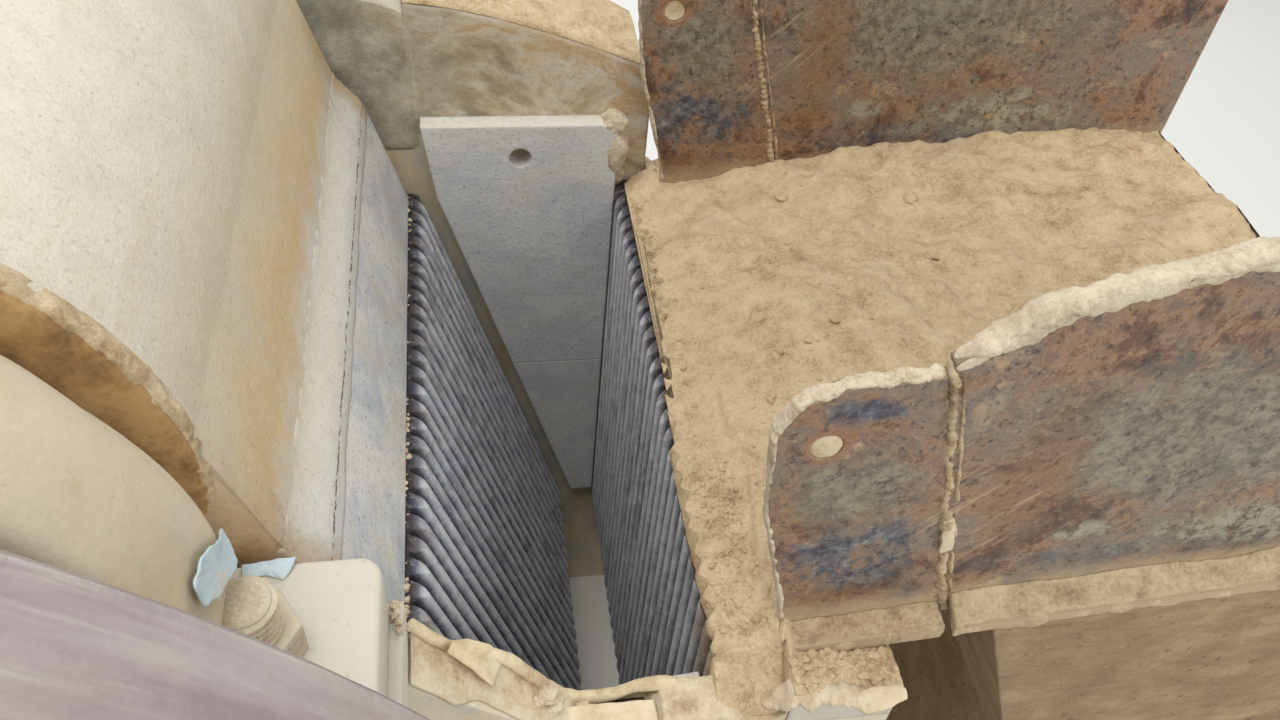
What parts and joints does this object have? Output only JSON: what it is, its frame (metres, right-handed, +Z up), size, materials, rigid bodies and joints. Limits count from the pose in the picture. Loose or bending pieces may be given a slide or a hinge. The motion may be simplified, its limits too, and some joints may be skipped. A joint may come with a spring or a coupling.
{
  "type": "jaw crusher",
  "caption": "Single-toggle jaw crusher: dusty cast frame, swing jaw with toothed plate, fixed toothed plate, cheek plates, flywheels and a short feed chute on a block.",
  "frame": {"origin": "on the ground, at the middle of the outline seen from above", "axes": "+X from the swing jaw towards the chute, +Y along the shaft to the belt flywheel, +Z up"},
  "size_m": [1.833, 1.532, 1.706],
  "materials": {
    "dusty_casting": "cast iron under cream stone dust with traces of pale blue paint",
    "worn_steel": "worn grey steel, dusty",
    "tooth_steel": "manganese steel, polished crests and dark grooves",
    "rusty_plate": "rusty brown plate with oily blue-black patches and dust on its edges",
    "flywheel_paint": "worn purplish-grey paint, slightly glossy",
    "rough_concrete": "rough-cast concrete, brown with dust"
  },
  "bodies": {
    "frame": {"near_side_wall": "dusty_casting", "far_side_wall": "dusty_casting", "far_guard_plate": "dusty_casting", "near_seat_beam": "dusty_casting", "far_seat_beam": "dusty_casting", "near_base_flange": "dusty_casting", "far_base_flange": "dusty_casting", "near_wall_ribs": "dusty_casting", "far_wall_ribs": "dusty_casting", "front_wall": "dusty_casting", "front_wall_ribs": "dusty_casting", "front_ledge": "dusty_casting", "rear_wall": "dusty_casting", "rear_wall_ribs": "dusty_casting", "shim_pack": "worn_steel", "toggle_block": "worn_steel", "toggle_plate": "worn_steel", "fixed_jaw_plate": "tooth_steel", "near_cheek_plate": "worn_steel", "far_cheek_plate": "worn_steel", "near_lower_cheek": "worn_steel", "far_lower_cheek": "worn_steel", "near_bearing_housing": "dusty_casting", "far_bearing_housing": "dusty_casting", "near_end_cover": "dusty_casting", "far_end_cover": "dusty_casting", "near_housing_studs": "dusty_casting", "far_housing_studs": "dusty_casting", "tension_rods": "worn_steel", "tension_springs": "worn_steel", "chute_floor": "rusty_plate", "near_chute_wall": "rusty_plate", "far_chute_wall": "rusty_plate", "near_wing_plate": "rusty_plate", "far_wing_plate": "rusty_plate", "chute_block": "rough_concrete"},
    "shaft": {"eccentric_shaft": "worn_steel", "near_flywheel": "flywheel_paint", "belt_flywheel": "flywheel_paint", "shaft_end_plates": "worn_steel"},
    "swing_jaw_body": {"swing_jaw": "dusty_casting", "swing_jaw_plate": "tooth_steel", "clamp_bar": "worn_steel", "barrel_end_rings": "dusty_casting", "tension_pins": "worn_steel"}
  },
  "joints": [
    {"name": "shaft_spin", "type": "hinge", "parent": "frame", "child": "shaft", "pos_m": [-0.4435, 0, 1.233], "axis": [0, 1, 0], "continuous": true},
    {"name": "jaw_orbit", "type": "hinge", "parent": "shaft", "child": "swing_jaw_body", "pos_m": [-0.4435, 0, 1.223], "axis": [0, 1, 0], "continuous": true}
  ],
  "couplings": [
    {"joint": "jaw_orbit", "follows": "shaft_spin", "ratio": -1}
  ]
}
